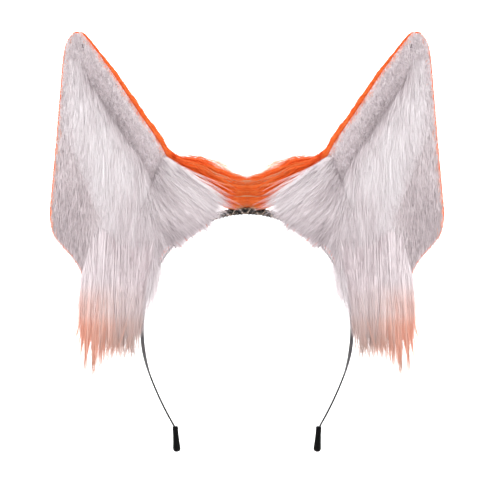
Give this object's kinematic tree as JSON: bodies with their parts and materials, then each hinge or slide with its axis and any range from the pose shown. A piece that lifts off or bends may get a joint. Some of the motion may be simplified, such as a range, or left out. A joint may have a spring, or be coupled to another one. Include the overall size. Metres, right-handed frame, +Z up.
{
  "type": "animal ears headband",
  "caption": "Spring-steel hoop headband with tall faux-fur fox ears, plush linings, long fur tufts and rubber-capped tips.",
  "frame": {"origin": "on the centre line, on the underside of the wrapped crown, where the hoop rests on the head", "axes": "+Z up, -Y the way the ears face, +X to the right as seen from the front"},
  "size_m": [0.2328, 0.0288, 0.252],
  "materials": {
    "spring_steel": "black oxide",
    "black_braid": "woven braid",
    "black_rubber": "matte",
    "white_felt": "felted",
    "plush": "short pile",
    "white_fur": "long pile",
    "orange_fur": "long pile",
    "foam": "closed-cell foam",
    "thread": "twisted thread"
  },
  "bodies": {
    "crown": {"crown_strip": "spring_steel", "crown_wrap": "black_braid"},
    "left_leg": {"left_leg_strip": "spring_steel", "left_leg_ribbon": "black_braid", "left_end_cap": "black_rubber"},
    "left_ear": {"left_base_sleeve": "white_felt", "left_base_stitches": "thread", "left_ear_foam": "foam", "left_ear_wire": "spring_steel", "left_ear_lining": "plush", "left_ear_shell": "orange_fur", "left_edge_binding": "orange_fur", "left_tip_stitch": "thread", "left_long_fur": "white_fur", "left_side_tuft": "white_fur", "left_inner_fan": "white_fur", "left_base_fur": "orange_fur"},
    "right_leg": {"right_leg_strip": "spring_steel", "right_leg_ribbon": "black_braid", "right_end_cap": "black_rubber"},
    "right_ear": {"right_base_sleeve": "white_felt", "right_base_stitches": "thread", "right_ear_foam": "foam", "right_ear_wire": "spring_steel", "right_ear_lining": "plush", "right_ear_shell": "orange_fur", "right_edge_binding": "orange_fur", "right_tip_stitch": "thread", "right_long_fur": "white_fur", "right_side_tuft": "white_fur", "right_inner_fan": "white_fur", "right_base_fur": "orange_fur"}
  },
  "joints": [
    {"name": "left_leg_flex", "type": "hinge", "parent": "crown", "child": "left_leg", "pos_m": [-0.05091, 0, -0.02724], "axis": [0, 1, 0], "range_deg": [-4, 12], "stiffness_Nm_per_rad": 0.5},
    {"name": "left_ear_tilt", "type": "hinge", "parent": "crown", "child": "left_ear", "pos_m": [-0.03409, 0, -0.00953], "axis": [0.8039, 0, 0.5948], "range_deg": [-12, 8]},
    {"name": "right_leg_flex", "type": "hinge", "parent": "crown", "child": "right_leg", "pos_m": [0.05091, 0, -0.02724], "axis": [0, -1, 0], "range_deg": [-4, 12], "stiffness_Nm_per_rad": 0.5},
    {"name": "right_ear_tilt", "type": "hinge", "parent": "crown", "child": "right_ear", "pos_m": [0.03409, 0, -0.00953], "axis": [0.8039, 0, -0.5948], "range_deg": [-12, 8]}
  ]
}
